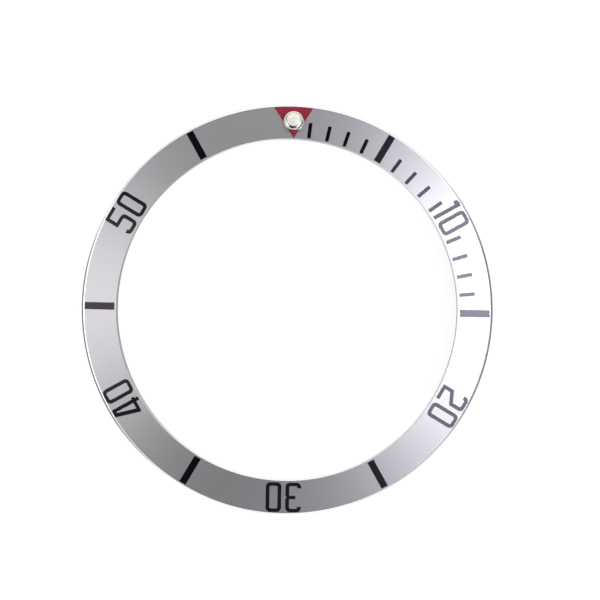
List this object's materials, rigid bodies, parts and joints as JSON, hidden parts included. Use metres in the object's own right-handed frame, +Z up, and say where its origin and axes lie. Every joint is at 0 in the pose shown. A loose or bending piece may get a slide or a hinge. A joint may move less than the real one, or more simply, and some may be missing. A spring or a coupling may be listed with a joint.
{
  "type": "watch bezel insert",
  "caption": "Sloping silver ring insert for a diver's watch bezel, with engraved and filled minute markings, numerals and a luminous pearl in a red triangle.",
  "frame": {"origin": "centre of the ring in the plane of the flat land that it rests on", "axes": "+Z up along the ring's axis, out of the marked face; +Y towards the twelve o'clock mark; +X towards three o'clock"},
  "size_m": [0.038, 0.038, 0.0021],
  "materials": {
    "anodised_aluminium": "satin silver anodised",
    "polished_steel": "polished",
    "luminous_fill": "cream luminous compound",
    "clear_lens": "clear, polished",
    "red_enamel": "satin red enamel",
    "black_enamel": "satin black enamel"
  },
  "bodies": {
    "root": {"insert_ring": "anodised_aluminium", "pearl_cup": "polished_steel", "pearl_lume": "luminous_fill", "pearl_lens": "clear_lens", "triangle_head": "red_enamel", "triangle_tip": "red_enamel", "bar_05": "black_enamel", "bar_15": "black_enamel", "bar_25": "black_enamel", "bar_35": "black_enamel", "bar_45": "black_enamel", "bar_55": "black_enamel", "tick_01": "black_enamel", "tick_02": "black_enamel", "tick_03": "black_enamel", "tick_04": "black_enamel", "tick_06": "black_enamel", "tick_07": "black_enamel", "tick_08": "black_enamel", "tick_09": "black_enamel", "tick_11": "black_enamel", "tick_12": "black_enamel", "tick_13": "black_enamel", "tick_14": "black_enamel", "numeral_10_one": "black_enamel", "numeral_20_two": "black_enamel", "numeral_30_three": "black_enamel", "numeral_40_four": "black_enamel", "numeral_50_five": "black_enamel", "numeral_10_zero": "black_enamel", "numeral_20_zero": "black_enamel", "numeral_30_zero": "black_enamel", "numeral_40_zero": "black_enamel", "numeral_50_zero": "black_enamel"}
  },
  "joints": []
}
